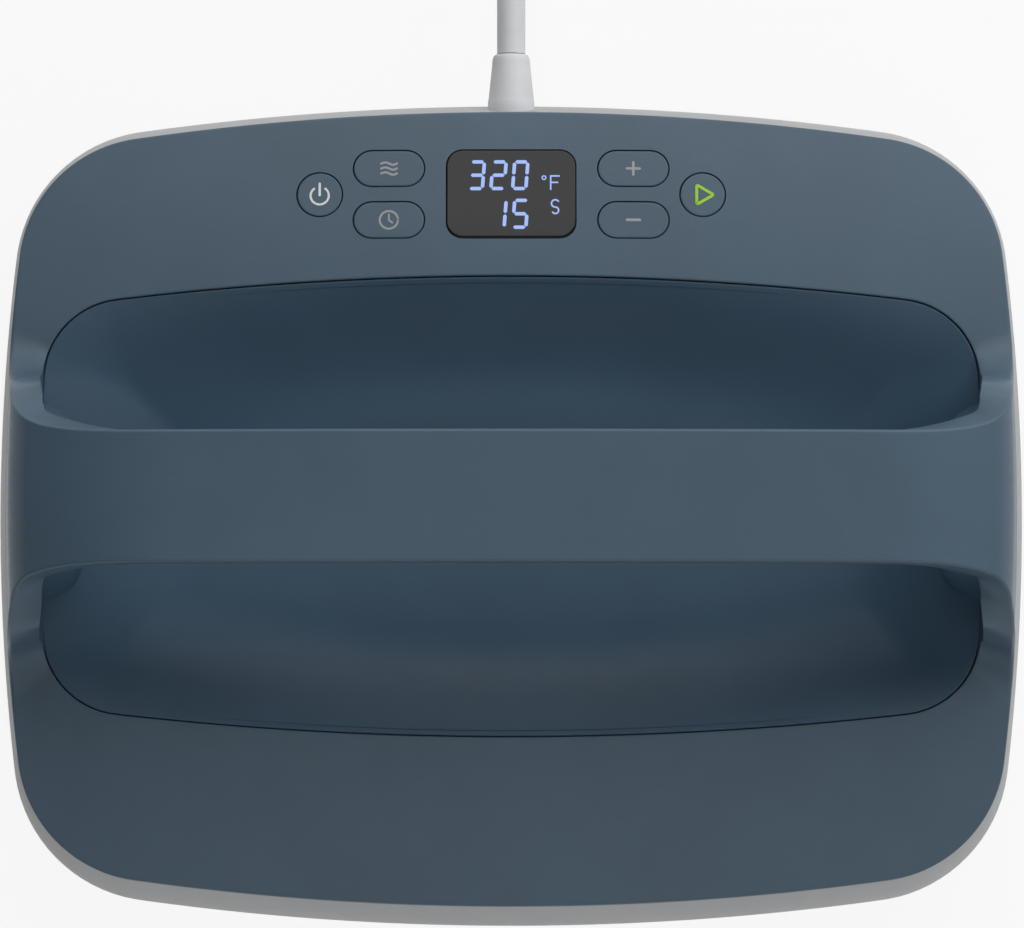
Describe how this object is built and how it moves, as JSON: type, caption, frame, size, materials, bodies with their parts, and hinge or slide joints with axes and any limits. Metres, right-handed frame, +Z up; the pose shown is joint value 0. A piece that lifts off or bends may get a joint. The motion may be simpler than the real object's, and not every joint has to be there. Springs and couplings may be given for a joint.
{
  "type": "handheld heat press",
  "caption": "Handheld heat press with a full-width arched handle over a dished recess, a heated flat plate, a key panel with display, and a mains cord.",
  "frame": {"origin": "centre of the heat plate's flat face, which is the bottom of the object", "axes": "+X along the handle, +Y to the back where the cord leaves, +Z up"},
  "size_m": [0.3523, 0.4718, 0.124],
  "materials": {
    "housing_grey": "fine moulded texture",
    "cover_blue": "satin, fine moulded texture",
    "liner_blue": "satin",
    "key_blue": "satin",
    "lens_black": "smoked, polished",
    "nonstick": "sintered non-stick coating",
    "steel": "plain",
    "zinc_steel": "zinc plated",
    "silicone": "matte",
    "ceramic_fibre": "felted",
    "inner_black": "moulded",
    "board_green": "solder mask",
    "component_yellow": "moulded",
    "component_blue": "sleeved",
    "aluminium": "plain extrusion",
    "cord_grey": "satin jacket",
    "wire_white": "insulation",
    "nickel": "plated"
  },
  "bodies": {
    "root": {"base_housing": "housing_grey", "top_cover": "cover_blue", "handle_underside": "liner_blue", "recess_liner": "liner_blue", "heat_plate": "nonstick", "heating_element": "steel", "insulation_blanket": "ceramic_fibre", "heat_shield": "zinc_steel", "plate_posts": "zinc_steel", "plate_seal": "silicone", "chassis": "inner_black", "power_board": "board_green", "power_module": "inner_black", "relay": "component_blue", "mains_fuse": "inner_black", "filter_capacitor": "component_yellow", "storage_capacitor": "component_blue", "triac_heatsink": "aluminium", "triac": "inner_black", "terminal_block": "board_green", "control_board": "board_green", "display_module": "inner_black", "display_lens": "lens_black", "buzzer": "inner_black", "key_switches": "inner_black", "temperature_sensors": "steel", "thermal_fuse": "aluminium", "mains_wires": "wire_white", "plate_wires": "wire_white", "ribbon_cable": "cord_grey", "strain_relief": "cord_grey", "cord_inner_end": "cord_grey", "cord_clamp": "inner_black", "cord_lead": "cord_grey", "cord_coil": "cord_grey", "cord_tail": "cord_grey", "coil_tie": "inner_black", "plug_body": "cord_grey", "plug_blades": "nickel", "cover_screws": "zinc_steel", "plate_screws": "zinc_steel", "handle_screws": "zinc_steel", "power_board_screws": "zinc_steel", "control_board_screws": "zinc_steel", "clamp_screws": "zinc_steel"},
    "temperature_key": {"temperature_button": "key_blue", "temperature_plunger": "inner_black"},
    "timer_key": {"timer_button": "key_blue", "timer_plunger": "inner_black"},
    "plus_key": {"plus_button": "key_blue", "plus_plunger": "inner_black"},
    "minus_key": {"minus_button": "key_blue", "minus_plunger": "inner_black"},
    "power_key": {"power_button": "key_blue", "power_plunger": "inner_black"},
    "start_key": {"start_button": "key_blue", "start_plunger": "inner_black"}
  },
  "joints": [
    {"name": "temperature_press", "type": "slide", "parent": "root", "child": "temperature_key", "axis": [0, -0.1812, -0.9834], "range_m": [0, 0.0006], "stiffness_N_per_m": 1500, "springref_m": -0.0004},
    {"name": "timer_press", "type": "slide", "parent": "root", "child": "timer_key", "axis": [0, -0.1812, -0.9834], "range_m": [0, 0.0006], "stiffness_N_per_m": 1500, "springref_m": -0.0004},
    {"name": "plus_press", "type": "slide", "parent": "root", "child": "plus_key", "axis": [0, -0.1812, -0.9834], "range_m": [0, 0.0006], "stiffness_N_per_m": 1500, "springref_m": -0.0004},
    {"name": "minus_press", "type": "slide", "parent": "root", "child": "minus_key", "axis": [0, -0.1812, -0.9834], "range_m": [0, 0.0006], "stiffness_N_per_m": 1500, "springref_m": -0.0004},
    {"name": "power_press", "type": "slide", "parent": "root", "child": "power_key", "axis": [0, -0.1812, -0.9834], "range_m": [0, 0.0006], "stiffness_N_per_m": 1500, "springref_m": -0.0004},
    {"name": "start_press", "type": "slide", "parent": "root", "child": "start_key", "axis": [0, -0.1812, -0.9834], "range_m": [0, 0.0006], "stiffness_N_per_m": 1500, "springref_m": -0.0004}
  ]
}
